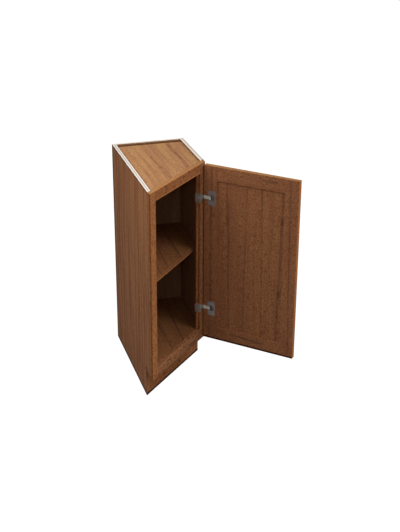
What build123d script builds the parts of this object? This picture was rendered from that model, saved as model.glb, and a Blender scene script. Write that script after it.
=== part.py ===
from build123d import *
import os
from math import cos, radians, sin, tan

# Angled base end cabinet of a kitchen run, in millimetres, with its door standing open.
# The origin is the back left corner on the floor: the left side's outer face is at x = 0,
# the wall is at y = 0, and the front runs from the deep left side to the shallow right side.

# Carcass
overall_width = 298.45
left_depth = 609.6
overall_height = 876.3
face_angle = 45.0
panel_thickness = 15.875
back_thickness = 12.7
top_deck_drop = 6.35
dado_depth = 6.35
back_rabbet_depth = 9.525
toe_height = 114.3
toe_recess = 63.5
toe_board_thickness = 12.7
glue_block_leg = 19.05
glue_block_length = 63.5

# Face frame
frame_thickness = 19.05
left_stile_width = 44.45
right_stile_width = 38.1
top_rail_height = 38.1
bottom_rail_height = 44.45
tenon_length = 12.7
tenon_thickness = 6.35
tenon_shoulder = 6.35

# Shelf, its clips and the rows of holes they plug into
shelf_thickness = 15.875
shelf_underside = 496.0
shelf_front_gap = 2.0
shelf_front_turn = 3.3
shelf_back_gap = 3.0
shelf_side_gap = 1.6
edge_band_thickness = 1.0
clip_pin_radius = 2.5
clip_pin_length = 9.0
clip_hole_clearance = 0.05
clip_hole_depth = 10.0
clip_plate_width = 12.0
clip_plate_height = 14.0
clip_metal = 1.5
clip_tab_length = 11.0
clip_pin_drop = 8.0
hole_row_pitch = 32.0
hole_rows_each_way = 1
rear_hole_inset = 63.5
front_hole_inset = 60.0

# Door
door_side_reveal = 11.8
door_end_reveal = 7.95
door_thickness = 20.64
door_member_width = 57.15
door_panel_thickness = 6.35
door_back_recess = 7.14
panel_groove_depth = 7.94
panel_edge_gap = 1.5
door_edge_ease = 0.8
door_opening = 90.0
door_gap = 2.0

# Hinges: a plate wrapped round the right stile, a knuckle, and an arm into a cup in the door
upper_hinge_inset = 132.0
lower_hinge_inset = 137.0
hinge_metal = 1.3
pin_radius = 1.55
pin_clearance = 0.05
pin_from_door_edge = 1.0
pin_depth_in_door = 4.0
pin_head_radius = 2.4
pin_head_height = 0.8
arm_knuckle_height = 8.0
base_knuckle_height = 3.6
knuckle_gap = 0.2
base_plate_height = 38.1
base_edge_leaf_depth = 22.0
base_full_height_length = 4.0
base_taper_end = 10.0
base_shoulder_radius = 2.0
base_corner_radius = 4.0
arm_plate_height = 14.6
arm_short_of_cup_middle = 6.0
arm_corner_radius = 3.0
flange_height = 62.0
flange_width = 32.0
flange_beyond_cup_middle = 1.5
flange_proud = 0.3
flange_corner_radius = 4.0
cup_radius = 13.0
cup_wall = 1.2
cup_depth = 9.5
cup_to_panel_groove = 1.71
cup_screw_spread = 22.5
adjuster_short_of_cup_middle = 9.5
adjuster_drop = 4.2
mortise_clearance = 0.4
knuckle_notch_clearance = 1.0

# Screws
hinge_screw_length = 14.0
hinge_screw_radius = 1.6
base_screw_head_radius = 3.2
base_screw_head_height = 1.6
adjuster_radius = 1.5
adjuster_head_radius = 2.6
adjuster_head_height = 1.3
adjuster_length = 5.0
pilot_clearance = 0.05

# Directions and lines that everything on the slanted front shares
slant = radians(face_angle)
along_face = (cos(slant), sin(slant), 0)
against_face = (-cos(slant), -sin(slant), 0)
out_of_face = (sin(slant), -cos(slant), 0)
face = Plane(origin=(0, -left_depth, 0), x_dir=along_face, z_dir=out_of_face)
face_length = overall_width / cos(slant)
frame_height = overall_height - toe_height
opening_width = face_length - left_stile_width - right_stile_width
opening_middle = left_stile_width + opening_width / 2
deck_left = panel_thickness - dado_depth
deck_right = overall_width - deck_left
top_deck_top = overall_height - top_deck_drop
bottom_deck_top = toe_height + bottom_rail_height
back_left = panel_thickness - back_rabbet_depth
back_right = overall_width - back_left

# The pin lies just inside the door's hinge edge, so the door's place follows from it
door_width = face_length - 2 * door_side_reveal
door_height = frame_height - 2 * door_end_reveal
door_bottom = toe_height + door_end_reveal
pin_along = face_length - door_side_reveal - pin_from_door_edge
pin_out = door_gap + pin_depth_in_door
pin_foot = face.from_local_coords((pin_along, 0, pin_out))
door_heading = radians(face_angle + 180 + door_opening)
along_door = Vector(cos(door_heading), sin(door_heading), 0)
into_door = Vector(-sin(door_heading), cos(door_heading), 0)
door_corner = (
    pin_foot - along_door * pin_from_door_edge - into_door * pin_depth_in_door
)
door = Plane(
    origin=door_corner + Vector(0, 0, door_bottom),
    x_dir=along_door,
    z_dir=-into_door,
)
door_opening_width = door_width - 2 * door_member_width
hinge_heights = (
    door_height - upper_hinge_inset,
    lower_hinge_inset,
)
knuckle_radius = pin_radius + pin_clearance + hinge_metal
knuckle_stack = arm_knuckle_height + 2 * (knuckle_gap + base_knuckle_height)
cup_from_door_edge = (
    door_member_width - panel_groove_depth - cup_to_panel_groove - cup_radius
)
flange_middle = cup_from_door_edge + flange_beyond_cup_middle
arm_end_from_door_edge = cup_from_door_edge - arm_short_of_cup_middle
adjuster_from_door_edge = cup_from_door_edge - adjuster_short_of_cup_middle
cup_screw_head_radius = hinge_screw_radius + hinge_metal


def front_line(x, inset):
    """Y where a plane parallel to the front, inset behind it, crosses the given x."""
    return -left_depth + inset / cos(slant) + x * tan(slant)


def board_outline(x_a, x_b, back_y, inset):
    """Outline of a board seen from above: square at the back, slanted at the front."""
    Polygon(
        (x_a, back_y),
        (x_b, back_y),
        (x_b, front_line(x_b, inset)),
        (x_a, front_line(x_a, inset)),
    )


def strip_outline(x_a, x_b, inset, thickness):
    """Outline of a board seen from above that runs parallel to the front."""
    Polygon(
        (x_a, front_line(x_a, inset)),
        (x_b, front_line(x_b, inset)),
        (x_b, front_line(x_b, inset + thickness)),
        (x_a, front_line(x_a, inset + thickness)),
    )


def level(height):
    return Plane.XY.offset(height)


def placed(plane, spots):
    """Locations of (x, y) spots on a plane, facing out of it."""
    return Locations(*[plane.location * Pos(x, y, 0) for x, y in spots])


def countersunk_screw(radius, head_radius, length):
    """One screw whose flat head is level with the plane it stands on."""
    Cylinder(radius, length, align=(Align.CENTER, Align.CENTER, Align.MAX))
    Cone(
        bottom_radius=radius,
        top_radius=head_radius,
        height=head_radius - radius,
        align=(Align.CENTER, Align.CENTER, Align.MAX),
    )


def headed_screw(radius, length, head_radius, head_height):
    """One screw whose low round head stands on the plane."""
    Cylinder(radius, length, align=(Align.CENTER, Align.CENTER, Align.MAX))
    Cone(
        bottom_radius=head_radius,
        top_radius=head_radius - head_height / 2,
        height=head_height,
        align=(Align.CENTER, Align.CENTER, Align.MIN),
    )


def inner_face(inner_x, inward):
    """Plane on a side panel's inner face, with its normal into the cabinet and y up."""
    return Plane(origin=(inner_x, 0, 0), x_dir=(0, inward, 0), z_dir=(inward, 0, 0))


def clip_spots(inner_x, inward, row):
    """Places on a side's inner face of one row of shelf holes, one at the rear, one in front."""
    rear = -back_thickness - rear_hole_inset
    front = front_line(inner_x, frame_thickness) + front_hole_inset
    height = shelf_underside - clip_pin_drop + row * hole_row_pitch
    return [(inward * column, height) for column in (rear, front)]


def side_panel(outer_x, inner_x, inward):
    """Side with a slanted front edge, toe notch, dados for the decks and rabbet for the back."""
    with BuildPart() as panel:
        with BuildSketch(level(toe_height)):
            board_outline(outer_x, inner_x, 0, frame_thickness)
        extrude(amount=frame_height)
        with BuildSketch(level(0)):
            board_outline(outer_x, inner_x, 0, toe_recess)
        extrude(amount=toe_height)
        with BuildSketch(level(0)):
            with Locations(((back_left + back_right) / 2, -back_thickness / 2)):
                Rectangle(back_right - back_left, back_thickness)
        extrude(amount=overall_height, mode=Mode.SUBTRACT)
        for deck_top in (top_deck_top, bottom_deck_top):
            with BuildSketch(level(deck_top - panel_thickness)):
                board_outline(deck_left, deck_right, -back_thickness, frame_thickness)
            extrude(amount=panel_thickness, mode=Mode.SUBTRACT)
        for row in range(-hole_rows_each_way, hole_rows_each_way + 1):
            with placed(inner_face(inner_x, inward), clip_spots(inner_x, inward, row)):
                Hole(clip_pin_radius + clip_hole_clearance, clip_hole_depth)
    return panel


left_inner_x = panel_thickness
right_inner_x = overall_width - panel_thickness
left_side_panel = side_panel(0, left_inner_x, 1)
right_side_panel = side_panel(overall_width, right_inner_x, -1)

with BuildPart() as back_panel:
    with BuildSketch(level(0)):
        with Locations(((back_left + back_right) / 2, -back_thickness / 2)):
            Rectangle(back_right - back_left, back_thickness)
    extrude(amount=overall_height)


def deck(top):
    """Fixed board across the cabinet, housed in the sides and butted to the face frame."""
    with BuildPart() as board:
        with BuildSketch(level(top - panel_thickness)):
            board_outline(deck_left, deck_right, -back_thickness, frame_thickness)
        extrude(amount=panel_thickness)
    return board


top_deck = deck(top_deck_top)
bottom_deck = deck(bottom_deck_top)

# The toe board stands between the sides, flush with their slanted toe edges
bottom_deck_underside = bottom_deck_top - panel_thickness
with BuildPart() as toe_kick_board:
    with BuildSketch(level(0)):
        strip_outline(left_inner_x, right_inner_x, toe_recess, toe_board_thickness)
    extrude(amount=bottom_deck_underside)

# Three-cornered blocks glued under the bottom deck: two behind the toe board, one at each side
toe_board_back = toe_recess + toe_board_thickness
block_corners = ((0, 0), (-glue_block_leg, 0), (0, -glue_block_leg))
half_block = glue_block_length / 2
with BuildPart() as glue_blocks:
    for share in (1 / 3, 2 / 3):
        middle_x = overall_width * share
        middle_y = front_line(middle_x, toe_board_back)
        middle = (middle_x, middle_y, bottom_deck_underside)
        with BuildSketch(Plane(middle, x_dir=out_of_face, z_dir=against_face)):
            Polygon(*block_corners)
        extrude(amount=half_block, both=True)
    for inner_x, inward in ((left_inner_x, 1), (right_inner_x, -1)):
        middle = (inner_x, -back_thickness - glue_block_length, bottom_deck_underside)
        with BuildSketch(Plane(middle, x_dir=(-inward, 0, 0), z_dir=(0, inward, 0))):
            Polygon(*block_corners)
        extrude(amount=half_block, both=True)


def rail_tenons(bottom, height, mode):
    """Tongue of a frame rail from mortise to mortise, added to the rail or cut from a stile."""
    with placed(face.offset(-frame_thickness / 2), [(opening_middle, bottom + height / 2)]):
        Box(
            opening_width + 2 * tenon_length,
            height - 2 * tenon_shoulder,
            tenon_thickness,
            mode=mode,
        )


top_rail = (overall_height - top_rail_height, top_rail_height)
bottom_rail = (toe_height, bottom_rail_height)


def frame_stile(inner_along, side_x):
    """Upright of the face frame, its outer edge cut flush with the side's outer face."""
    inner_front = face.from_local_coords((inner_along, 0, 0))
    inner_back = face.from_local_coords((inner_along, 0, -frame_thickness))
    with BuildPart() as stile:
        with BuildSketch(level(toe_height)):
            Polygon(
                (side_x, front_line(side_x, 0)),
                (inner_front.X, inner_front.Y),
                (inner_back.X, inner_back.Y),
                (side_x, front_line(side_x, frame_thickness)),
            )
        extrude(amount=frame_height)
        for bottom, height in (top_rail, bottom_rail):
            rail_tenons(bottom, height, Mode.SUBTRACT)
    return stile


def frame_rail(bottom, height):
    """Crosspiece of the face frame between the stiles, with a tenon at each end."""
    with BuildPart() as rail:
        with BuildSketch(face):
            with Locations((opening_middle, bottom + height / 2)):
                Rectangle(opening_width, height)
        extrude(amount=-frame_thickness)
        rail_tenons(bottom, height, Mode.ADD)
    return rail


stile_edge = face_length - right_stile_width
hinge_levels = [door_bottom + height for height in hinge_heights]
# Plane on the right stile's inner edge: x runs out of the face, y up, z into the doorway
doorway_edge = Plane(
    origin=face.from_local_coords((stile_edge, 0, 0)),
    x_dir=out_of_face,
    z_dir=against_face,
)


base_screw_spots = [(-frame_thickness / 2, z) for z in hinge_levels]

frame_left_stile = frame_stile(left_stile_width, 0)
with BuildPart() as frame_right_stile:
    add(frame_stile(stile_edge, overall_width).part)
    with placed(doorway_edge, base_screw_spots):
        Hole(hinge_screw_radius + pilot_clearance, hinge_screw_length)
frame_top_rail = frame_rail(*top_rail)
frame_bottom_rail = frame_rail(*bottom_rail)

# Shelf, cut back from the frame, the back and both sides, with a banded front edge that
# falls back a little from the frame towards the right
shelf_left = left_inner_x + shelf_side_gap
shelf_right = right_inner_x - shelf_side_gap
shelf_back = -back_thickness - shelf_back_gap
shelf_slant = slant + radians(shelf_front_turn)
shelf_corner = front_line(shelf_left, frame_thickness + shelf_front_gap)


def shelf_front(x, inset):
    """Y where a plane parallel to the shelf's front edge, inset behind it, crosses x."""
    return shelf_corner + inset / cos(shelf_slant) + (x - shelf_left) * tan(shelf_slant)


with BuildPart() as shelf_board:
    with BuildSketch(level(shelf_underside)):
        Polygon(
            (shelf_left, shelf_back),
            (shelf_right, shelf_back),
            (shelf_right, shelf_front(shelf_right, edge_band_thickness)),
            (shelf_left, shelf_front(shelf_left, edge_band_thickness)),
        )
    extrude(amount=shelf_thickness)
with BuildPart() as shelf_edge_band:
    with BuildSketch(level(shelf_underside)):
        Polygon(
            (shelf_left, shelf_front(shelf_left, 0)),
            (shelf_right, shelf_front(shelf_right, 0)),
            (shelf_right, shelf_front(shelf_right, edge_band_thickness)),
            (shelf_left, shelf_front(shelf_left, edge_band_thickness)),
        )
    extrude(amount=shelf_thickness)


def shelf_clip():
    """Bent metal clip: a pin in the side, a plate against it and a tab under the shelf."""
    on_plate = (Align.CENTER, Align.MAX, Align.MIN)
    Cylinder(
        clip_pin_radius,
        clip_pin_length,
        align=(Align.CENTER, Align.CENTER, Align.MAX),
    )
    with Locations((0, clip_pin_drop, 0)):
        Box(clip_plate_width, clip_plate_height, clip_metal, align=on_plate)
        Box(clip_plate_width, clip_metal, clip_tab_length, align=on_plate)


with BuildPart() as shelf_clips:
    for inner_x, inward in ((left_inner_x, 1), (right_inner_x, -1)):
        with placed(inner_face(inner_x, inward), clip_spots(inner_x, inward, 0)):
            shelf_clip()

# Blank of the whole door with eased arrises, which trims each of its four members
with BuildPart() as door_blank:
    with BuildSketch(door):
        Rectangle(door_width, door_height, align=(Align.MIN, Align.MIN))
    extrude(amount=-door_thickness)
    broad_faces = door_blank.faces().sort_by(SortBy.AREA)[-2:]
    chamfer(broad_faces.edges(), door_edge_ease)


def door_member(x, y, width, height, depth=0.0, thickness=door_thickness, mode=Mode.ADD):
    """Upright block in the door, from its lower left corner, starting at a depth from inside."""
    with placed(door.offset(-depth), [(x, y)]):
        Box(width, height, thickness, align=(Align.MIN, Align.MIN, Align.MAX), mode=mode)


def door_stile(x, groove_x):
    """Upright of the door, grooved along its whole inner edge."""
    with BuildPart() as stile:
        door_member(x, 0, door_member_width, door_height)
        add(door_blank.part, mode=Mode.INTERSECT)
        door_member(
            groove_x,
            0,
            panel_groove_depth,
            door_height,
            door_back_recess,
            door_panel_thickness,
            Mode.SUBTRACT,
        )
    return stile


def door_rail(y, groove_y):
    """Crosspiece of the door, tongued into both stiles and grooved along its inner edge."""
    with BuildPart() as rail:
        door_member(door_member_width, y, door_opening_width, door_member_width)
        door_member(
            door_member_width - panel_groove_depth,
            y,
            door_opening_width + 2 * panel_groove_depth,
            door_member_width,
            door_back_recess,
            door_panel_thickness,
        )
        add(door_blank.part, mode=Mode.INTERSECT)
        door_member(
            0,
            groove_y,
            door_width,
            panel_groove_depth,
            door_back_recess,
            door_panel_thickness,
            Mode.SUBTRACT,
        )
    return rail


far_member = door_width - door_member_width
high_member = door_height - door_member_width
door_free_stile = door_stile(far_member, far_member)
door_top_rail = door_rail(high_member, high_member)
door_bottom_rail = door_rail(0, door_member_width - panel_groove_depth)

panel_start = door_member_width - panel_groove_depth + panel_edge_gap
with BuildPart() as door_center_panel:
    door_member(
        panel_start,
        panel_start,
        door_width - 2 * panel_start,
        door_height - 2 * panel_start,
        door_back_recess,
        door_panel_thickness,
    )

# Mortises in the hinge stile for the knuckle, the arm, the cup, its flange and their screws
arm_outer_depth = pin_depth_in_door - knuckle_radius
arm_inner_depth = arm_outer_depth + hinge_metal
notch_length = pin_from_door_edge + knuckle_radius + knuckle_notch_clearance
notch_depth = pin_depth_in_door + knuckle_radius + knuckle_notch_clearance
notch_height = knuckle_stack + 2 * (pin_head_height + knuckle_notch_clearance)
flange_seat_depth = hinge_metal - flange_proud
channel_height = arm_plate_height + 2 * mortise_clearance


def cup_screw_spots(height):
    """Places on the door's inside of the two screws of the cup at this height."""
    return [(cup_from_door_edge, height + side * cup_screw_spread) for side in (1, -1)]


with BuildPart() as door_hinge_stile:
    add(door_stile(0, door_member_width - panel_groove_depth).part)
    for height in hinge_heights:
        door_member(
            0,
            height - notch_height / 2,
            notch_length,
            notch_height,
            0,
            notch_depth,
            Mode.SUBTRACT,
        )
        door_member(
            0,
            height - channel_height / 2,
            cup_from_door_edge,
            channel_height,
            0,
            arm_inner_depth + mortise_clearance,
            Mode.SUBTRACT,
        )
        with BuildSketch(door):
            with Locations((flange_middle, height)):
                RectangleRounded(
                    flange_width + 2 * mortise_clearance,
                    flange_height + 2 * mortise_clearance,
                    flange_corner_radius,
                )
        extrude(amount=-flange_seat_depth, mode=Mode.SUBTRACT)
        with placed(door, [(cup_from_door_edge, height)]):
            Hole(cup_radius + mortise_clearance, cup_depth + mortise_clearance)
        with placed(door, cup_screw_spots(height)):
            Hole(hinge_screw_radius + pilot_clearance, hinge_screw_length)


def adjuster_spot(height):
    """Place on the door's inside of the screw that clamps the arm at this height."""
    return (adjuster_from_door_edge, height - adjuster_drop)


def hinge_base(z):
    """Plate wrapped from the right stile's edge to its front, with two knuckles for the pin."""
    corner = face.from_local_coords((stile_edge, z, 0))
    strap_half = knuckle_stack / 2
    plate_half = base_plate_height / 2
    strap_end = pin_along + knuckle_radius - stile_edge
    with BuildPart() as base:
        with BuildSketch(Plane(corner, x_dir=along_face, z_dir=out_of_face)) as front_leaf:
            with BuildLine():
                Polyline(
                    (-hinge_metal, -plate_half),
                    (base_full_height_length, -plate_half),
                    (base_taper_end, -strap_half),
                    (strap_end, -strap_half),
                    (strap_end, strap_half),
                    (base_taper_end, strap_half),
                    (base_full_height_length, plate_half),
                    (-hinge_metal, plate_half),
                    close=True,
                )
            make_face()
            shoulders = front_leaf.vertices().filter_by_position(
                Axis.X, base_full_height_length, base_taper_end
            )
            fillet(shoulders, base_shoulder_radius)
        extrude(amount=hinge_metal)
        with BuildSketch(doorway_edge) as edge_leaf:
            with Locations((hinge_metal, z)):
                Rectangle(
                    base_edge_leaf_depth + hinge_metal,
                    base_plate_height,
                    align=(Align.MAX, Align.CENTER),
                )
            fillet(edge_leaf.vertices().group_by(Axis.X)[0], base_corner_radius)
            with Locations(*base_screw_spots):
                Circle(hinge_screw_radius + pilot_clearance, mode=Mode.SUBTRACT)
        extrude(amount=hinge_metal)
        for low in (z - strap_half, z + strap_half - base_knuckle_height):
            foot = pin_foot + Vector(0, 0, low)
            with BuildSketch(Plane(foot, x_dir=along_face, z_dir=(0, 0, 1))):
                Circle(knuckle_radius)
                with Locations((knuckle_radius - hinge_metal / 2, pin_out / 2)):
                    Rectangle(hinge_metal, pin_out)
                Circle(pin_radius, mode=Mode.SUBTRACT)
            extrude(amount=base_knuckle_height)
    return base


def hinge_pin(z):
    """Pin through the knuckles, with a head on top, held in those of the base."""
    with BuildPart(Plane(pin_foot + Vector(0, 0, z))) as pin:
        Cylinder(pin_radius, knuckle_stack)
        with Locations((0, 0, (knuckle_stack + pin_head_height) / 2)):
            Cylinder(pin_head_radius, pin_head_height)
    return pin


def hinge_arm(height):
    """Arm that swings on the pin and runs as a flat plate into the cup."""
    shoulder = knuckle_radius + mortise_clearance
    knuckle_foot = height - arm_knuckle_height / 2
    foot = door.from_local_coords((pin_from_door_edge, knuckle_foot, -pin_depth_in_door))
    with BuildPart() as arm:
        with BuildSketch(Plane(foot, x_dir=along_door, z_dir=(0, 0, 1))):
            Circle(knuckle_radius)
            with Locations((0, -knuckle_radius)):
                Rectangle(shoulder, hinge_metal, align=(Align.MIN, Align.MIN))
            Circle(pin_radius + pin_clearance, mode=Mode.SUBTRACT)
        extrude(amount=arm_knuckle_height)
        with BuildSketch(door.offset(-arm_outer_depth)) as plate:
            with Locations((pin_from_door_edge + shoulder, height)):
                Rectangle(
                    arm_end_from_door_edge - pin_from_door_edge - shoulder,
                    arm_plate_height,
                    align=(Align.MIN, Align.CENTER),
                )
            fillet(plate.vertices().group_by(Axis.X)[-1], arm_corner_radius)
            with Locations(adjuster_spot(height)):
                Circle(adjuster_radius + pilot_clearance, mode=Mode.SUBTRACT)
        extrude(amount=-hinge_metal)
    return arm


def hinge_cup(height):
    """Flanged cup let into the door, with a seat and a slot for the arm."""
    cup_middle = (cup_from_door_edge, height)
    slot_end = (arm_end_from_door_edge + mortise_clearance, height)
    sunk_depth = flange_proud + cup_depth - cup_wall
    with BuildPart() as cup:
        with BuildSketch(door.offset(flange_proud)):
            with Locations((flange_middle, height)):
                RectangleRounded(flange_width, flange_height, flange_corner_radius)
        extrude(amount=-hinge_metal)
        with BuildSketch(door):
            with Locations(cup_middle):
                Circle(cup_radius)
        extrude(amount=-cup_depth)
        with placed(door.offset(flange_proud), [cup_middle]):
            Hole(cup_radius - cup_wall, sunk_depth)
        with BuildSketch(door.offset(-arm_inner_depth)):
            with Locations(cup_middle):
                Circle(cup_radius - cup_wall / 2)
            with Locations(slot_end):
                Rectangle(
                    2 * cup_radius,
                    arm_plate_height,
                    align=(Align.MAX, Align.CENTER),
                    mode=Mode.INTERSECT,
                )
        extrude(amount=arm_inner_depth - cup_depth)
        with placed(door.offset(flange_proud), [slot_end]):
            Box(
                flange_width,
                channel_height,
                flange_proud + arm_inner_depth,
                align=(Align.MAX, Align.CENTER, Align.MAX),
                mode=Mode.SUBTRACT,
            )
        with placed(door.offset(-arm_inner_depth), [adjuster_spot(height)]):
            Hole(adjuster_radius + pilot_clearance, adjuster_length)
        with placed(door.offset(flange_proud), cup_screw_spots(height)):
            CounterSinkHole(
                radius=hinge_screw_radius + pilot_clearance,
                counter_sink_radius=cup_screw_head_radius + pilot_clearance,
                depth=hinge_metal,
                counter_sink_angle=90,
            )
    return cup


upper_height, lower_height = hinge_heights
upper_level, lower_level = hinge_levels
hinge_upper_base = hinge_base(upper_level)
hinge_lower_base = hinge_base(lower_level)
hinge_upper_pin = hinge_pin(upper_level)
hinge_lower_pin = hinge_pin(lower_level)
hinge_upper_arm = hinge_arm(upper_height)
hinge_lower_arm = hinge_arm(lower_height)
hinge_upper_cup = hinge_cup(upper_height)
hinge_lower_cup = hinge_cup(lower_height)

# A round-headed screw holds each base plate to the stile's edge
with BuildPart() as hinge_base_screws:
    with placed(doorway_edge.offset(hinge_metal), base_screw_spots):
        headed_screw(
            hinge_screw_radius,
            hinge_screw_length,
            base_screw_head_radius,
            base_screw_head_height,
        )

# Flat-headed screws hold the cups, level with their flanges
with BuildPart() as hinge_cup_screws:
    for height in hinge_heights:
        with placed(door.offset(flange_proud), cup_screw_spots(height)):
            countersunk_screw(hinge_screw_radius, cup_screw_head_radius, hinge_screw_length)

# Adjusting screws clamp the arms to the seats of the cups
with BuildPart() as hinge_adjusting_screws:
    for height in hinge_heights:
        with placed(door.offset(-arm_outer_depth), [adjuster_spot(height)]):
            headed_screw(
                adjuster_radius,
                adjuster_length,
                adjuster_head_radius,
                adjuster_head_height,
            )

pieces = {
    "left_side_panel": left_side_panel,
    "right_side_panel": right_side_panel,
    "back_panel": back_panel,
    "top_deck": top_deck,
    "bottom_deck": bottom_deck,
    "toe_kick_board": toe_kick_board,
    "glue_blocks": glue_blocks,
    "frame_left_stile": frame_left_stile,
    "frame_right_stile": frame_right_stile,
    "frame_top_rail": frame_top_rail,
    "frame_bottom_rail": frame_bottom_rail,
    "shelf_clips": shelf_clips,
    "shelf_board": shelf_board,
    "shelf_edge_band": shelf_edge_band,
    "door_hinge_stile": door_hinge_stile,
    "door_free_stile": door_free_stile,
    "door_top_rail": door_top_rail,
    "door_bottom_rail": door_bottom_rail,
    "door_center_panel": door_center_panel,
    "hinge_upper_base": hinge_upper_base,
    "hinge_lower_base": hinge_lower_base,
    "hinge_upper_pin": hinge_upper_pin,
    "hinge_lower_pin": hinge_lower_pin,
    "hinge_upper_arm": hinge_upper_arm,
    "hinge_lower_arm": hinge_lower_arm,
    "hinge_upper_cup": hinge_upper_cup,
    "hinge_lower_cup": hinge_lower_cup,
    "hinge_base_screws": hinge_base_screws,
    "hinge_cup_screws": hinge_cup_screws,
    "hinge_adjusting_screws": hinge_adjusting_screws,
}

os.makedirs("parts", exist_ok=True)
for name, piece in pieces.items():
    piece.part.label = name
    export_step(piece.part, f"parts/{name}.step")
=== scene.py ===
"""Looks of an angled base end cabinet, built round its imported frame."""

import math
from typing import NamedTuple

import bmesh
import bpy
from bpy.props import FloatProperty, FloatVectorProperty, IntProperty, PointerProperty
from mathutils import Matrix, Vector


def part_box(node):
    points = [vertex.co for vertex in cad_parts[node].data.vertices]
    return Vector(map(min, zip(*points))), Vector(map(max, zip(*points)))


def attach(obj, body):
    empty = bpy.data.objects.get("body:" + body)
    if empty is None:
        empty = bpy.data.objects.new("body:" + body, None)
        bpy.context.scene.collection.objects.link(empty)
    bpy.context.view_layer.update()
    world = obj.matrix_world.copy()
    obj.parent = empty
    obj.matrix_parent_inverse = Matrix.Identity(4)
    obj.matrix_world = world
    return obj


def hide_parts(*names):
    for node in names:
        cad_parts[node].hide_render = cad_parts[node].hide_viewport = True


bl_info = {
    "name": "Angled Base End Cabinet",
    "version": (1, 0, 0),
    "blender": (4, 5, 0),
    "location": "View3D > Sidebar > Cabinet",
    "description": "Builds the finished look of an angled base end cabinet with an open door",
    "category": "Object",
}

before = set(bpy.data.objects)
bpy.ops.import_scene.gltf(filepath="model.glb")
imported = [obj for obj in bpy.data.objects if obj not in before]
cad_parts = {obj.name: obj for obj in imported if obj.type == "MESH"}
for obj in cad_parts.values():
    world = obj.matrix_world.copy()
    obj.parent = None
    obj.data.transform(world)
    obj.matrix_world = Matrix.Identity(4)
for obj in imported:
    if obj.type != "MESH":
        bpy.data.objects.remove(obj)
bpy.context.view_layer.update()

UP = Vector((0, 0, 1))
RIGHT = Vector((1, 0, 0))
FORWARD = Vector((0, -1, 0))
BACKWARD = -FORWARD
ALONG_FACE = Vector((1, 1, 0)).normalized()
OUT_OF_FACE = Vector((1, -1, 0)).normalized()
ALONG_DOOR = OUT_OF_FACE
OUT_OF_DOOR_INSIDE = -ALONG_FACE

# Corners that several boards share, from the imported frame
LEFT_SIDE, RIGHT_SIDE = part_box("left_side_panel"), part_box("right_side_panel")
BACK_LOW, BACK_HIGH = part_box("back_panel")
FACE_FOOT = Vector((LEFT_SIDE[0].x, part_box("frame_left_stile")[0].y, 0))
HINGE_STILE_LOW, HINGE_STILE_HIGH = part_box("door_hinge_stile")
DOOR_CORNER = Vector((HINGE_STILE_LOW.x, HINGE_STILE_HIGH.y, HINGE_STILE_LOW.z))

# Which faces and edges of a piece are meant
FACING = 0.8  # least cosine between a face's normal and the way that it counts as facing
SKIN = 0.001  # how far from a board's end its end faces may lie, in metres
EASED_END = (0.002, 0.6)  # SKIN and FACING where the eased arrises belong to the end
LEAST_CORNER = math.radians(30)  # angle at which an arris starts to be eased
WIDE_PLATE = 0.00005  # area above which a pressed plate's face is shaded flat, in square metres

# Marks in the materials: their width, and their length along the grain, in metres
SLOW_WAVES = (0.25, 0.4)
STREAK_BREAKS = (0.03, 0.04)
EDGE_FIBRES = (0.0016, 0.006)
EDGE_CHIPS = (0.003, 0.012)
RAW_RINGS = (0.014, 0.7)
RAW_FIBRES = (0.0012, 0.02)
ROLLING_MARKS = (0.0004, 0.006)
METAL_CLOUDS = (0.009, 0.009)

# What a base colour is multiplied by, channel by channel
THIN_STAIN = (1.12, 1.16, 1.08)
BAND_STAIN = (0.68, 0.60, 0.66)
FLECK_STAIN = (0.66, 0.54, 0.50)
RING_TONE = (0.72, 0.62, 0.50)

SHIFT_GAINS = (1, 1.7, 0.6)  # how far a noise's shift takes it along x, y and z
STREAK_CORE = 0.1  # share of a streak's width that has its full depth
RIM_CORE = 0.6  # the same for a rim
RAW_WANDER = 0.05  # how far the grain of raw wood leaves a straight line, in metres
RAW_BUMP = (0.0003, 0.5)  # lift and strength of the bump of raw wood and cut edges

# Screws and staples
HEAD_RINGS, HEAD_SIDES, SHANK_SIDES = 10, 32, 20
HEAD_FLARE = 0.85  # share of a head's height in which it widens
CROWN_POINTS, WIRE_SIDES = 9, 8
STAPLE_INSET = 0.0055  # from the back's upright edges, in metres
UPRIGHT_GAP, LEVEL_GAP = 0.03, 0.05  # from the back's border to a row's ends, in metres
STAPLE_SINK = 0.3  # share of the wire that lies in the back
DENT_SWELL = 0.0008  # how much wider than the wire its dent is, in metres

WHITE = (1, 1, 1, 1)


class Rim(NamedTuple):
    """Line along a board's border, at a place on the board's X or Z: a dark line of painted shade,
    or, where marked, a paler line of painted highlight.
    """

    axis: str
    place: float
    width: float
    depth: float
    worn: bool = False


class Lie(NamedTuple):
    """How a board lies: the directions across it and along its grain, and where they start."""

    across: Vector
    grain: Vector
    origin: tuple = (0, 0, 0)


LEVEL = Lie(RIGHT, BACKWARD)
FACE_STILE = Lie(ALONG_FACE, UP, FACE_FOOT)
FACE_RAIL = Lie(UP, ALONG_FACE, FACE_FOOT)
DOOR_STILE = Lie(ALONG_DOOR, UP, DOOR_CORNER)
DOOR_RAIL = Lie(UP, ALONG_DOOR, DOOR_CORNER)

# Square lamps: name, place and width in metres
LAMPS = (
    ("key", (3.6, -2.6, 4.4), 6.0),
    ("fill", (-1.0, -1.0, 1.9), 1.0),
    ("front", (-0.9, -3.6, 2.1), 1.0),
)
LAMP_AIM = Vector((0.15, -0.3, 0.45))  # where all lamps look
FLOOR_REACH = 12  # from the middle of the floor to its border, in metres
SENSOR_WIDTH = 36  # of the camera, in millimetres

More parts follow.
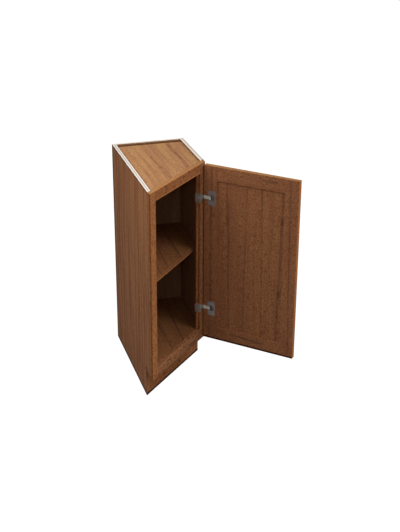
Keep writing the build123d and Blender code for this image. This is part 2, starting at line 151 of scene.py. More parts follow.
# Streaks as the photo has them: the start and the end, each across the board and along its
# grain, then the width and the depth
SIDE_STREAKS = (
    (0.080, 0.90, 0.058, 0.45, 0.013, 0.34),
    (0.058, 0.45, 0.070, -0.02, 0.013, 0.42),
    (0.147, 0.80, 0.148, -0.02, 0.010, 0.22),
    (0.434, 0.90, 0.416, 0.10, 0.013, 0.30),
    (0.530, 0.90, 0.490, 0.10, 0.012, 0.34),
    # The last three are painted shade: dark marks along the toe-kick notch at the side's front
    # foot
    (0.516, 0.124, 0.552, 0.102, 0.016, 0.85),
    (0.552, 0.102, 0.552, 0.074, 0.024, 0.85),
    (0.552, 0.074, 0.540, 0.020, 0.028, 0.70),
)
DECK_STREAKS = (
    (0.113, -0.02, 0.115, -0.20, 0.006, 0.40),
    (0.115, -0.18, 0.120, -0.32, 0.009, 0.50),
    (0.120, -0.31, 0.125, -0.44, 0.016, 0.45),
    (0.217, -0.05, 0.218, -0.17, 0.016, 0.48),
    (0.219, -0.16, 0.223, -0.27, 0.010, 0.60),
    (0.223, -0.27, 0.220, -0.34, 0.013, 0.55),
    (0.050, -0.15, 0.054, -0.22, 0.014, 0.32),
    (0.057, -0.29, 0.057, -0.40, 0.012, 0.22),
)
SHELF_STREAKS = (
    (0.190, -0.17, 0.183, -0.40, 0.0055, 0.6),
    (0.124, -0.24, 0.112, -0.44, 0.005, 0.5),
    (0.068, -0.30, 0.074, -0.56, 0.005, 0.4),
)
FLOOR_STREAKS = (
    (0.118, -0.10, 0.122, -0.50, 0.006, 0.6),
    (0.196, -0.10, 0.182, -0.42, 0.006, 0.6),
)
TOP_RAIL_MARKS = (
    (0.880, 0.119, 0.846, 0.123, 0.006, 0.6),
    (0.860, 0.224, 0.850, 0.232, 0.007, 0.5),
    (0.871, 0.250, 0.864, 0.256, 0.006, 0.4),
    (0.874, 0.296, 0.862, 0.302, 0.008, 0.6),
    (0.866, 0.350, 0.852, 0.354, 0.006, 0.5),
)
BOTTOM_RAIL_MARKS = (
    (0.1485, 0.118, 0.1415, 0.146, 0.005, 0.5),
    (0.1435, 0.250, 0.1365, 0.272, 0.006, 0.5),
    (0.1290, 0.300, 0.1260, 0.352, 0.006, 0.7),
)
TOE_MARKS = (
    (0.030, 0.318, 0.024, 0.333, 0.008, 0.6),
    (0.032, 0.196, 0.026, 0.212, 0.009, 0.5),
)
PANEL_STREAKS = (
    (0.104, 0.70, 0.110, 0.48, 0.0055, 0.32),
    (0.113, 0.60, 0.120, 0.04, 0.0055, 0.40),
    (0.192, 0.70, 0.182, 0.04, 0.005, 0.34),
    (0.255, 0.70, 0.266, 0.04, 0.005, 0.36),
    # The last three run along the panel's border next to the free stile: partly a real streak,
    # partly painted shade where the stile stands over the panel
    (0.344, 0.70, 0.340, 0.56, 0.009, 0.44),
    (0.341, 0.58, 0.334, 0.25, 0.008, 0.42),
    (0.335, 0.27, 0.330, 0.04, 0.010, 0.34),
)
FREE_STILE_STREAKS = (
    (0.373, 0.74, 0.377, 0.50, 0.006, 0.34),
    (0.377, 0.52, 0.388, 0.02, 0.007, 0.38),
)
HINGE_STILE_STREAKS = ((0.045, 0.74, 0.037, 0.02, 0.008, 0.36),)
DOOR_TOP_RAIL_MARKS = ((0.7265, 0.262, 0.7255, 0.318, 0.006, 0.6),)
DOOR_BOTTOM_RAIL_MARKS = (
    (0.046, 0.065, 0.042, 0.100, 0.007, 0.4),
    (0.041, 0.135, 0.034, 0.275, 0.007, 0.5),
)


def chart(channels):
    """Scene-linear colour of a colour chart's value, from 0 to 255 in each channel."""
    parts = [channel / 255 for channel in channels]
    return tuple(
        part / 12.92 if part <= 0.04045 else ((part + 0.055) / 1.055) ** 2.4 for part in parts
    )


def toned(tone, *gains):
    """Colour with its channels multiplied."""
    return tuple(min(1.0, part * gain) for part, gain in zip(tone, gains))


def setting(kind, **fixed):
    """Maker of one kind of property, called with a name, a description and a default."""

    def make(name, description, default):
        return kind(name=name, description=description, default=default, **fixed)

    return make


def colour(name, description, *channels):
    """Colour property from a colour chart's value, from 0 to 255 in each channel."""
    make = setting(FloatVectorProperty, subtype="COLOR", size=3, min=0, max=1)
    return make(name, description, chart(channels))


number = setting(FloatProperty)
whole = setting(IntProperty)
distance = setting(FloatProperty, subtype="DISTANCE", unit="LENGTH", min=0, precision=5)
share = setting(FloatProperty, subtype="FACTOR", min=0, max=1)
angle = setting(FloatProperty, subtype="ANGLE")


class CabinetWood(bpy.types.PropertyGroup):
    """Stained boards of the cabinet"""

    hardwood: colour("Hardwood", "Stained face frame", 176, 117, 73)
    door: colour("Door", "Stained door members and panel", 160, 107, 73)
    dim: colour("Right Stile", "Stained right stile of the face frame", 164, 112, 74)
    rail: colour("Rails", "Stained top rail and toe board", 160, 103, 65)
    sill: colour("Bottom Rail", "Stained bottom rail of the face frame", 162, 110, 76)
    side: colour("Side Veneer", "Stained veneer of the sides", 166, 112, 76)
    deck: colour("Top Deck", "Stained veneer of the top deck", 194, 144, 100)
    interior: colour("Interior", "Stained veneer of shelf and bottom deck", 145, 98, 63)
    # Painted light: the interior's veneer made lighter inside the sides and back, where little
    # light reaches
    walls: colour("Walls", "Stained veneer inside the sides and back", 150, 112, 84)
    band: colour("Edge Band", "Band on the shelf's front edge", 140, 92, 60)
    # Painted light: a lighter copy of the stain on the up-facing edges of the frame and the door,
    # where light from above falls
    edge: colour("Top Edges", "Upper edges of the frame and the door", 184, 130, 84)
    # Painted light: a lighter, more orange copy of the door's stain on its outer edge, which faces
    # the light
    free: colour("Free Edge", "Outer edge of the door", 176, 112, 66)
    # Painted shade: dark lines along the boards' borders, at their feet, where boards meet and
    # where the door shades the frame
    rim: colour("Rim", "Stain gathered along a board's border", 58, 22, 6)
    # Painted highlight: a paler line along lit arrises of the face frame's top rail and the
    # shelf's band
    worn: colour("Worn Arris", "Border where the stain has worn", 206, 138, 72)
    raw: colour("Raw Wood", "Unstained wood and veneer", 212, 170, 124)
    # Also painted shade where it marks the left side's toe-kick notch and the door panel's border
    # next to the free stile
    streak: colour("Streak", "Dark mineral streaks", 66, 42, 42)
    deck_streak: colour("Deck Streak", "Streaks of the top deck", 124, 74, 62)
    pore: colour("Pore", "Stain held in the pores", 74, 40, 24)
    pore_width: distance("Pore Width", "Width of a pore", 0.0012)
    pore_length: distance("Pore Length", "Length of a pore along the grain", 0.014)
    fleck_width: distance("Fleck Width", "Width of the flecks", 0.0040)
    fleck_length: distance("Fleck Length", "Length of the flecks along the grain", 0.0065)
    figure_width: distance("Figure Width", "Width of the growth bands", 0.014)
    figure_length: distance("Figure Length", "Length of the growth bands", 0.45)
    wander: distance("Wander", "How far the grain leaves a straight line", 0.04)
    streak_wander: distance("Streak Wander", "How far a streak leaves its line", 0.012)
    roughness: share("Roughness", "Roughness of the satin lacquer", 0.58)


class CabinetRawEdge(bpy.types.PropertyGroup):
    """Cut edges of the plywood"""

    ply: colour("Outer Plies", "Pale plies of a cut edge", 252, 240, 226)
    core: colour("Core", "Grey core of the left side's cut edge", 180, 186, 184)
    beige: colour("Beige Core", "Core of the other cut edges", 206, 194, 176)
    core_width: distance("Core Width", "Width of the left side's grey core", 0.0044)
    wide_core: distance("Wide Core", "Width of the right side's core", 0.0095)
    thin_core: distance("Thin Core", "Width of the back's grey core", 0.0012)


class CabinetMetal(bpy.types.PropertyGroup):
    """Hinges, screws, clips and staples"""

    nickel: colour("Nickel", "Plated steel of the hinges", 166, 163, 157)
    # Partly painted light: the arms' steel, made brighter and less metallic than the other plating
    # for the light on their tops
    bright: colour("Bright Steel", "Arms of the hinges", 214, 213, 206)
    zinc: colour("Zinc", "Clips, fixing screws and staples", 150, 149, 145)
    # Painted highlight: a near-white, non-metal colour on the adjusting screws' domed heads,
    # standing in for their glint
    polished: colour("Polished Zinc", "Adjusting screws", 250, 249, 246)
    # Partly painted shade: the cups' plating and their screws, made darker than the base plates'
    cup_plating_and_painted_shade: colour("Cup Metal", "Nickel plating of the cups and their screws", 136, 130, 126)
    # Painted shade: a dark, non-metal colour inside the cups' hollows
    shaded: colour("Cup Hollow", "Dark hollow of a hinge's cup", 122, 108, 103)
    roughness: share("Roughness", "Roughness of the plating", 0.36)


class CabinetJoinery(bpy.types.PropertyGroup):
    """Small forms that finish the pieces"""

    board_ease: distance("Board Easing", "Radius of a board's arrises", 0.0006)
    metal_ease: distance("Metal Easing", "Radius of a pressed plate's edges", 0.0002)
    staple_pitch: distance("Staple Pitch", "Distance between two staples", 0.098)
    staple_crown: distance("Staple Crown", "Width of a staple's crown", 0.0111)
    staple_wire: distance("Staple Wire", "Thickness of a staple's wire", 0.0012)
    staple_turn: angle("Staple Turn", "Most that a staple leaves its row", math.radians(9))
    staple_seed: whole("Staple Seed", "Seed of the turns", 7)
    screw_seed: whole("Screw Seed", "Seed of the turns of the recesses", 3)
    recess: share("Recess", "Width of a screw's cross recess in its head", 0.62)


class CabinetStage(bpy.types.PropertyGroup):
    """Camera, lamps, sky and floor"""

    lens: setting(FloatProperty, unit="CAMERA")("Lens", "Focal length of the camera", 71.59)
    place: setting(FloatVectorProperty, subtype="TRANSLATION")(
        "Camera Place", "Where the camera stands", (-0.8456, -4.01975, 2.19026)
    )
    yaw: angle("Yaw", "How far the camera looks to the right", math.radians(16.88))
    pitch: angle("Pitch", "How far the camera looks down", math.radians(24.36))
    roll: angle("Roll", "How far the camera leans", math.radians(0.26))
    key_power: number("Key Power", "Power of the lamp at the right", 246)
    fill_power: number("Fill Power", "Power of the lamp at the left", 14)
    front_power: number("Front Power", "Power of the lamp beside the camera", 9)
    sky: number("Sky", "Strength of the sky's light", 0.22)
    floor: colour("Floor", "Plain pale floor as the light meets it", 130, 130, 130)


def arithmetic(operation, swapped=False):
    """Method that adds a Math node on a socket and the other terms, or the reverse."""

    def operate(self, *others):
        terms = (*others, self) if swapped else (self, *others)
        return self.graph.node("ShaderNodeMath", dict(enumerate(terms)), operation=operation)

    return operate


class Socket:
    """An output of a node that takes part in arithmetic."""

    def __init__(self, graph, output):
        self.graph = graph
        self.output = output

    def pick(self, name):
        """Another output of the same node."""
        return Socket(self.graph, self.output.node.outputs[name])

    __add__ = __radd__ = arithmetic("ADD")
    __sub__ = arithmetic("SUBTRACT")
    __rsub__ = arithmetic("SUBTRACT", swapped=True)
    __mul__ = __rmul__ = arithmetic("MULTIPLY")
    __truediv__ = arithmetic("DIVIDE")
    __pow__ = arithmetic("POWER")
    __abs__ = arithmetic("ABSOLUTE")
    __gt__ = arithmetic("GREATER_THAN")
    at_most = arithmetic("MINIMUM")
    bearing = arithmetic("ARCTAN2")

    def __neg__(self):
        return self * -1


class Graph:
    """A node tree, with one method that makes every kind of node."""

    def __init__(self, tree):
        self.tree = tree

    def node(self, kind, inputs=None, **settings):
        """Adds a node, applies its settings, then fills or links its sockets in use."""
        made = self.tree.nodes.new(kind)
        for key, value in settings.items():
            setattr(made, key, value)
        in_use = {socket.name: socket for socket in reversed(made.inputs) if socket.enabled}
        for key, value in (inputs or {}).items():
            socket = made.inputs[key] if isinstance(key, int) else in_use[key]
            for part in value if isinstance(value, list) else [value]:
                if isinstance(part, Socket):
                    self.tree.links.new(part.output, socket)
                else:
                    socket.default_value = part
        outputs = [output for output in made.outputs if output.enabled]
        return Socket(self, outputs[0]) if outputs else None

    def vector(self, x=0.0, y=0.0, z=0.0):
        return self.node("ShaderNodeCombineXYZ", {"X": x, "Y": y, "Z": z})


class Finish(Graph):
    """A material whose patterns follow a board's own directions."""

    def __init__(self, name):
        self.material = bpy.data.materials.new(name)
        self.material.use_nodes = True
        super().__init__(self.material.node_tree)
        self.tree.nodes.clear()

    def position(self, lie):
        """Place on a board: x across it, y through it and z along its grain, in metres."""
        turn = Matrix((lie.across, lie.grain.cross(lie.across), lie.grain)).transposed()
        place = self.node("ShaderNodeTexCoord").pick("Object")
        inputs = {"Vector": place, "Location": lie.origin, "Rotation": turn.to_euler()}
        return self.node("ShaderNodeMapping", inputs, vector_type="TEXTURE")

    def vectors(self, operation, first, second):
        return self.node("ShaderNodeVectorMath", {0: first, 1: second}, operation=operation)

    def noise(self, place, size, detail=2.0, rough=0.5, shift=0.0):
        """Noise from 0 to 1 whose marks have a width, and a length along the grain."""
        width, length = size
        stretched = self.vectors("MULTIPLY", place, (1 / width, 1 / width, 1 / length))
        moved = self.vectors("ADD", stretched, tuple(shift * gain for gain in SHIFT_GAINS))
        return self.node(
            "ShaderNodeTexNoise",
            {"Vector": moved, "Scale": 1.0, "Detail": detail, "Roughness": rough},
            noise_dimensions="3D",
        )

    def wandering(self, place, reach, shift):
        """The place, moved across the grain by slow waves."""
        waves = self.noise(place, SLOW_WAVES, 3.0, 0.45, shift).pick("Color")
        waves = self.vectors("SUBTRACT", waves, (0.5, 0.5, 0.5))
        return self.vectors("ADD", place, self.vectors("MULTIPLY", waves, (reach, reach, 0)))

    def ramp(self, value, low, high, bottom=0.0, top=1.0):
        """Smooth step from bottom to top as value goes from low to high."""
        limits = {"From Min": low, "From Max": high, "To Min": bottom, "To Max": top}
        return self.node(
            "ShaderNodeMapRange", {"Value": value, **limits}, interpolation_type="SMOOTHSTEP"
        )

    def mix(self, share_of_second, first, second):
        """Blend of two colours."""
        inputs = {"Factor": share_of_second}
        for key, tone in (("A", first), ("B", second)):
            inputs[key] = tone if isinstance(tone, Socket) else (*tone, 1)
        return self.node("ShaderNodeMix", inputs, data_type="RGBA")

    def surface(self, base, roughness, height, lift, strength, **fixed):
        """Ends the material in one shader, with a bump as high as lift where height is 1."""
        bump = {"Height": height, "Distance": lift, "Strength": strength}
        inputs = {
            "Base Color": base,
            "Roughness": roughness,
            "Normal": self.node("ShaderNodeBump", bump),
            **{key.replace("_", " "): value for key, value in fixed.items()},
        }
        shader = self.node("ShaderNodeBsdfPrincipled", inputs)
        self.node("ShaderNodeOutputMaterial", {"Surface": shader})
        return self.material


def wood_finish(
    name, base, lie, shift, streaks=(), rims=(), figure=0.3, mottle=0.6, coarse=1.0, smear=None
):
    """Stained and lacquered wood with pores, flecks, growth bands and streaks, and rims along its
    borders that paint shade, or paint a highlight where marked.

    shift gives a board its own part of the pattern, figure and mottle are the strengths of
    bands and flecks, coarse enlarges them, and smear is a colour of its own for the streaks.
    """
    wood = bpy.context.scene.cabinet_wood
    finish = Finish(name)
    straight = finish.position(lie)
    place = finish.wandering(straight, wood.wander, shift)

    pore_size = (wood.pore_width, wood.pore_length)
    fleck_size = (wood.fleck_width * coarse, wood.fleck_length * coarse)
    band_size = (wood.figure_width * coarse, wood.figure_length)
    tone_size = (wood.figure_width * 4, wood.figure_length)
    pores = finish.noise(place, pore_size, rough=0.55, shift=shift + 3)
    flecks = finish.noise(place, fleck_size, rough=0.65, shift=shift + 5)
    bands = finish.noise(place, band_size, rough=0.55, shift=shift + 11)
    tone = finish.noise(place, tone_size, shift=shift + 17)
    fine = finish.ramp(pores, 0.54, 0.70)

    body = finish.mix(finish.ramp(tone, 0.35, 0.65), base, toned(base, *THIN_STAIN))
    body = finish.mix(finish.ramp(bands, 0.44, 0.64) * figure, body, toned(base, *BAND_STAIN))
    body = finish.mix(finish.ramp(flecks, 0.46, 0.62) * mottle, body, toned(base, *FLECK_STAIN))
    body = finish.mix(fine * 0.5, body, wood.pore)

    board = finish.wandering(straight, wood.streak_wander, shift + 29)
    board = finish.vectors("MULTIPLY", board, (1, 0, 1))
    breaks = finish.noise(place, STREAK_BREAKS, shift=shift + 23)
    for streak in streaks:
        strength = streak_strength(finish, board, breaks, streak)
        body = finish.mix(strength, body, smear or wood.streak)
    edges = finish.node("ShaderNodeSeparateXYZ", {"Vector": straight})
    # Rims: painted shade along a border, or painted highlight where a rim is marked for it
    for rim in rims:
        away = abs(edges.pick(rim.axis) - rim.place)
        line = finish.ramp(away, rim.width * RIM_CORE, rim.width, rim.depth, 0.0)
        body = finish.mix(line, body, wood.worn if rim.worn else wood.rim)

    height = 1 - fine * 0.8 - finish.ramp(bands, 0.3, 0.8) * 0.3
    roughness = wood.roughness + fine * 0.2 + finish.ramp(flecks, 0.3, 0.7) * 0.08
    return finish.surface(body, roughness, height, 0.00022, 0.6, Specular_IOR_Level=0.01)


def streak_strength(finish, board, breaks, streak):
    """How much of a streak's colour a place on the board's face has."""
    across, along, end_across, end_along, width, depth = streak
    start = Vector((across, 0, along))
    run = Vector((end_across, 0, end_along)) - start
    from_start = finish.vectors("SUBTRACT", board, start)
    travel = finish.vectors("DOT_PRODUCT", from_start, run / run.length_squared)
    travel = finish.node("ShaderNodeClamp", {"Value": travel})
    scaled = {"Vector": run, "Scale": travel}
    nearest = finish.node("ShaderNodeVectorMath", scaled, operation="SCALE")
    away = finish.vectors("DISTANCE", from_start, nearest)
    line = finish.ramp(away, width * STREAK_CORE, width, 1.0, 0.0)
    return line * finish.ramp(breaks, 0.25, 0.6, 0.4, 1.0) * depth


def raw_edge_finish(name, lie, middle, core_width, core_tone):
    """Cut edge of the plywood: pale plies with a core along the board's middle."""
    finish = Finish(name)
    place = finish.position(lie)
    parts = finish.node("ShaderNodeSeparateXYZ", {"Vector": place})
    fibres = finish.noise(place, EDGE_FIBRES, rough=0.6)
    chips = finish.noise(place, EDGE_CHIPS, shift=4)
    from_middle = abs(parts - middle)
    core = finish.ramp(from_middle, core_width * 0.35, core_width * 0.65, 1.0, 0.0)
    ply, raw = bpy.context.scene.cabinet_raw_edge.ply, bpy.context.scene.cabinet_wood.raw
    body = finish.mix(finish.ramp(fibres, 0.4, 0.75) * 0.22, ply, raw)
    body = finish.mix(core * finish.ramp(chips, 0.3, 0.6, 0.55, 1.0), body, core_tone)
    return finish.surface(body, 0.7, fibres, *RAW_BUMP, Specular_IOR_Level=0.1)


def raw_wood_finish(name, lie, shift):
    """Unstained softwood or veneer."""
    raw = bpy.context.scene.cabinet_wood.raw
    finish = Finish(name)
    place = finish.wandering(finish.position(lie), RAW_WANDER, shift)
    rings = finish.noise(place, RAW_RINGS, 3.0, 0.6, shift + 2)
    fibres = finish.noise(place, RAW_FIBRES, rough=0.6, shift=shift + 6)
    dark = toned(raw, *RING_TONE)
    body = finish.mix(finish.ramp(rings, 0.35, 0.7) * 0.7, raw, dark)
    body = finish.mix(finish.ramp(fibres, 0.5, 0.8) * 0.4, body, dark)
    return finish.surface(body, 0.72 + fibres * 0.1, fibres, *RAW_BUMP, Specular_IOR_Level=0.1)


def metal_finish(name, base, roughness, metallic=1.0):
    """Plated steel with fine rolling marks and faint wear."""
    finish = Finish(name)
    place = finish.position(Lie(RIGHT, UP))
    marks = finish.noise(place, ROLLING_MARKS, rough=0.6)
    cloud = finish.noise(place, METAL_CLOUDS, shift=9)
    body = finish.mix(finish.ramp(cloud, 0.35, 0.7) * 0.6, base, toned(base, 0.7, 0.7, 0.7))
    rough = roughness + finish.ramp(cloud, 0.3, 0.7) * 0.12 + marks * 0.06
    return finish.surface(body, rough, marks, 0.00003, 0.4, Metallic=metallic)


class Growth(Graph):
    """A Geometry Nodes tree with named inputs, which ends in a plain mesh."""

    def __init__(self, name, numbers, vectors=()):
        super().__init__(bpy.data.node_groups.new(name, "GeometryNodeTree"))
        new_socket = self.tree.interface.new_socket
        new_socket("Geometry", in_out="OUTPUT", socket_type="NodeSocketGeometry")
        kinds = {
            "Seeds": "Geometry",
            **dict.fromkeys(vectors, "Vector"),
            **dict.fromkeys(numbers, "Float"),
            "Seed": "Int",
            "Material": "Material",
        }
        self.identifiers = {
            label: new_socket(label, in_out="INPUT", socket_type=f"NodeSocket{kind}").identifier
            for label, kind in kinds.items()
        }
        self.given = self.node("NodeGroupInput")

    def line(self, start, end, points=2):
        """Straight curve through a number of points."""
        inputs = {"Start": start, "End": end}
        curve = self.node("GeometryNodeCurvePrimitiveLine", inputs, mode="POINTS")
        if points == 2:
            return curve
        return self.node("GeometryNodeResampleCurve", {"Curve": curve, "Count": points})

    def tube(self, curve, scale, sides):
        """Closed tube of that radius along a curve."""
        ring = self.node("GeometryNodeCurvePrimitiveCircle", {"Resolution": sides, "Radius": 1.0})
        inputs = {"Curve": curve, "Profile Curve": ring, "Scale": scale, "Fill Caps": True}
        return self.node("GeometryNodeCurveToMesh", inputs)

    def moved(self, geometry, **inputs):
        return self.node("GeometryNodeTransform", {"Geometry": geometry, **inputs})

    def turn(self, **angles):
        """Rotation by angles about x, y and z."""
        return self.node("FunctionNodeEulerToRotation", {"Euler": self.vector(**angles)})

    def chance(self, low, high):
        """Random number for each point, from the tree's seed."""
        inputs = {"Min": low, "Max": high, "Seed": self.given.pick("Seed")}
        return self.node("FunctionNodeRandomValue", inputs, data_type="FLOAT")

    def finish(self, points, shape, turn):
        """Sets the shape on each point, makes it real and gives it the material."""
        inputs = {"Points": points, "Instance": shape, "Rotation": turn}
        placed = self.node("GeometryNodeInstanceOnPoints", inputs)
        real = self.node("GeometryNodeRealizeInstances", {"Geometry": placed})
        inputs = {"Geometry": real, "Material": self.given.pick("Material")}
        self.node("NodeGroupOutput", {"Geometry": self.node("GeometryNodeSetMaterial", inputs)})

    def grow(self, name, seeds, values):
        """Object with the plain mesh that the tree makes on a mesh of seeds."""
        grown = new_object(name, seeds)
        modifier = grown.modifiers.new(self.tree.name, "NODES")
        modifier.node_group = self.tree
        for label, value in values.items():
            modifier[self.identifiers[label]] = value
        bake_modifier(grown, modifier)
        return grown


def screw_growth():
    """Screws with a cross recess, whose heads' tops lie on the seeds and face outwards."""
    numbers = (
        "Head Diameter", "Head Height", "Foot Share", "Crown Share", "Shank Diameter", "Length",
        "Recess Share",
    )
    tree = Growth("Cross Recess Screws", numbers, ("Facing",))
    given = tree.given
    radius = given.pick("Head Diameter") * 0.5
    height = given.pick("Head Height")
    foot, crown = given.pick("Foot Share"), given.pick("Crown Share")

    up_the_head = tree.line(tree.vector(z=-height), (0, 0, 0), HEAD_RINGS)
    along = tree.node("GeometryNodeSplineParameter")
    spread = foot + (1 - foot) * (along / HEAD_FLARE).at_most(1)
    dome = 1 - (1 - crown) * along**5
    head = tree.tube(up_the_head, radius * spread * dome, HEAD_SIDES)

    inside_head, tip = tree.vector(z=height * -0.98), tree.vector(z=-given.pick("Length"))
    shank = tree.tube(tree.line(inside_head, tip), given.pick("Shank Diameter") * 0.5, SHANK_SIDES)

    arm = radius * given.pick("Recess Share")
    bar = tree.node(
        "GeometryNodeMeshCone",
        {"Vertices": 4, "Radius Top": arm * 1.1, "Radius Bottom": arm * 0.35, "Depth": height},
    )
    bar = tree.moved(bar, Translation=tree.vector(z=height * -0.75), Scale=(1, 0.3, 1))
    cross = tree.moved(bar, Rotation=(0, 0, math.pi / 2))
    recessed = tree.node(
        "GeometryNodeMeshBoolean",
        {"Mesh 1": head, "Mesh 2": [bar, cross]},
        operation="DIFFERENCE",
        solver="EXACT",
    )
    screw = tree.node("GeometryNodeJoinGeometry", {"Geometry": [recessed, shank]})

    facing = tree.node(
        "FunctionNodeAlignRotationToVector", {"Vector": given.pick("Facing")}, axis="Z"
    )
    turns = {"Rotation": facing, "Rotate By": tree.turn(z=tree.chance(0, math.pi))}
    turn = tree.node("FunctionNodeRotateRotation", turns, rotation_space="LOCAL")
    tree.finish(given.pick("Seeds"), screw, turn)
    return tree


def staple_growth():
    """Staples along rows of edges on an upright plane that faces the wall."""
    tree = Growth("Driven Staples", ("Pitch", "Crown", "Wire", "Turn", "Swell"))
    given = tree.given
    rows = tree.node("GeometryNodeMeshToCurve", {"Mesh": given.pick("Seeds")})
    inputs = {"Curve": rows, "Length": given.pick("Pitch")}
    spots = tree.node("GeometryNodeCurveToPoints", inputs, mode="LENGTH")
    heading = tree.node("ShaderNodeSeparateXYZ", {"Vector": spots.pick("Tangent")})
    most = given.pick("Turn")
    lean = -heading.pick("Z").bearing(heading) + tree.chance(-most, most)

    wire = given.pick("Wire") + given.pick("Swell")
    half = (given.pick("Crown") - given.pick("Wire")) * 0.5
    crown = tree.line(tree.vector(x=-half), tree.vector(x=half), CROWN_POINTS)
    from_middle = abs(tree.node("GeometryNodeSplineParameter") - 0.5) * 2
    drop = tree.vector(z=-(from_middle**6) * wire * 0.6)
    bowed = tree.node("GeometryNodeSetPosition", {"Geometry": crown, "Offset": drop})
    shape = tree.moved(tree.tube(bowed, wire * 0.5, WIRE_SIDES), Scale=(1, 1, 0.55))
    tree.finish(spots, shape, tree.turn(x=-math.pi / 2, y=lean))
    return tree


def new_object(name, mesh):
    """Object in the scene with the shape of a bmesh, which is freed."""
    data = bpy.data.meshes.new(name)
    mesh.to_mesh(data)
    mesh.free()
    made = bpy.data.objects.new(name, data)
    bpy.context.scene.collection.objects.link(made)
    return made


def bake_modifier(piece, modifier):
    """Replaces a piece's mesh with what the modifier makes of it."""
    graph = bpy.context.evaluated_depsgraph_get()
    mesh = bpy.data.meshes.new_from_object(piece.evaluated_get(graph))
    piece.modifiers.remove(modifier)
    piece.data = mesh


def merged_mesh(node):
    """Mesh of a CAD node with its triangles joined and its flat faces whole."""
    mesh = bmesh.new()
    mesh.from_mesh(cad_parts[node].data)
    bmesh.ops.remove_doubles(mesh, verts=mesh.verts, dist=1e-6)
    bmesh.ops.dissolve_limit(
        mesh, angle_limit=math.radians(0.5), verts=mesh.verts, edges=mesh.edges
    )
    return mesh


def eased_object(name, node, ease, finishes, least_edge=0.012):
    """Copy of a CAD node with its outer arrises rounded, and a finish for each kind of face.

    finishes is a list of (material, test of a face's normal and middle); the first that
    passes is used, and the last one takes what is left.
    """
    mesh = merged_mesh(node)
    arrises = [
        edge
        for edge in mesh.edges
        if len(edge.link_faces) == 2
        and edge.is_convex
        and edge.calc_face_angle() > LEAST_CORNER
        and edge.calc_length() > least_edge
    ]
    bmesh.ops.bevel(
        mesh,
        geom=arrises,
        offset=ease,
        offset_type="OFFSET",
        segments=2,
        profile=0.5,
        affect="EDGES",
        clamp_overlap=True,
    )
    for face in mesh.faces:
        middle = face.calc_center_median()
        face.material_index = next(
            i for i, (_, test) in enumerate(finishes) if test is None or test(face.normal, middle)
        )
    made = new_object(name, mesh)
    for material, _ in finishes:
        made.data.materials.append(material)
    return made


def settle(piece, body, node, smooth=None):
    """Lets a piece ride on a body and stand for a CAD node."""
    if smooth is not None:
        piece.data.shade_smooth()
        piece.data.set_sharp_from_angle(angle=math.radians(smooth))
    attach(piece, body)
    if node:
        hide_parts(node)


def eased_board(name, node, finishes, body):
    """Wooden piece in the place of a CAD node."""
    ease = bpy.context.scene.cabinet_joinery.board_ease
    settle(eased_object(name, node, ease, finishes), body, node)


def eased_metal(name, node, finishes, body):
    """Pressed metal piece in the place of a CAD node, smooth except on its wide faces."""
    ease = bpy.context.scene.cabinet_joinery.metal_ease
    piece = eased_object(name, node, ease, finishes, 0.002)
    settle(piece, body, node, smooth=35)
    for polygon in piece.data.polygons:
        polygon.use_smooth = polygon.area < WIDE_PLATE


def dress_node(node, material):
    """Gives a CAD node that stays in view its finish."""
    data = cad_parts[node].data
    data.materials.clear()
    data.materials.append(material)


def islands(mesh):
    """Groups of vertices that hang together, one for each solid."""
    left = set(mesh.verts)
    while left:
        group, front = set(), [left.pop()]
        while front:
            vertex = front.pop()
            group.add(vertex)
            for edge in vertex.link_edges:
                other = edge.other_vert(vertex)
                if other in left:
                    left.discard(other)
                    front.append(other)
        yield [vertex.co.copy() for vertex in group]


def span(points, direction):
    """Lowest and highest place of points along a direction."""
    places = [point.dot(direction) for point in points]
    return min(places), max(places)


def reach(node, direction):
    """Lowest and highest place of a CAD node along a direction."""
    return span([vertex.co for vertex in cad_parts[node].data.vertices], direction)


def faces_beyond(direction, level):
    """Test for faces that lie beyond a level along a direction."""
    return lambda normal, middle: middle.dot(direction) > level


def faces_towards(*directions):
    """Test for faces whose normal points one of those ways."""
    return lambda normal, middle: any(normal.dot(way) > FACING for way in directions)


def end_faces(direction, level, depth=SKIN, facing=FACING):
    """Test for faces at a board's end, which is at that level along a direction."""
    return lambda normal, middle: (
        normal.dot(direction) > facing and middle.dot(direction) > level - depth
    )


def either(*tests):
    """Test for faces that pass one of some tests."""
    return lambda normal, middle: any(test(normal, middle) for test in tests)


class CABINET_OT_build_sides(bpy.types.Operator):
    """Build the deep left side and the shallow right side"""

    bl_idname = "cabinet.build_sides"
    bl_label = "Build Sides"

    def execute(self, context):
        wood = context.scene.cabinet_wood
        raw = context.scene.cabinet_raw_edge
        left_core, right_core = (raw.core_width, raw.core), (raw.wide_core, raw.beige)
        for side, (low, high), inward, core, core_shift, shift, streaks in (
            ("left", LEFT_SIDE, RIGHT, left_core, 0.0, 2.0, SIDE_STREAKS),
            ("right", RIGHT_SIDE, -RIGHT, right_core, 0.004, 9.0, ()),
        ):
            # Painted shade: dark lines along the side's rear, front, top and foot
            rims = (
                Rim("X", 0, 0.024, 0.6),
                Rim("X", -low.y, 0.008, 0.35),
                Rim("Z", high.z, 0.007, 0.7),
                Rim("Z", 0, 0.015, 0.95),
            )
            outside = wood_finish(
                f"{side}_side_veneer", wood.side, Lie(FORWARD, UP), shift, streaks, rims,
                figure=0.75, mottle=0.3, coarse=2.0,
            )
            # Inside faces take the lighter copy of the interior veneer: painted light
            inside = wood_finish(f"{side}_side_inside", wood.walls, Lie(FORWARD, UP), shift + 4)
            middle = (low.x + high.x) / 2 + core_shift
            edge = raw_edge_finish(f"{side}_side_edge", Lie(RIGHT, FORWARD), middle, *core)
            rear = raw_edge_finish(f"{side}_side_rear_edge", Lie(RIGHT, UP), middle, *core)
            finishes = [
                (rear, end_faces(BACKWARD, high.y)),
                (edge, either(end_faces(UP, high.z), end_faces(-UP, -low.z))),
                (inside, faces_towards(inward)),
                (outside, None),
            ]
            eased_board(
                f"{side}_side_board", f"{side}_side_panel", finishes, "cabinet"
            )
        return {"FINISHED"}


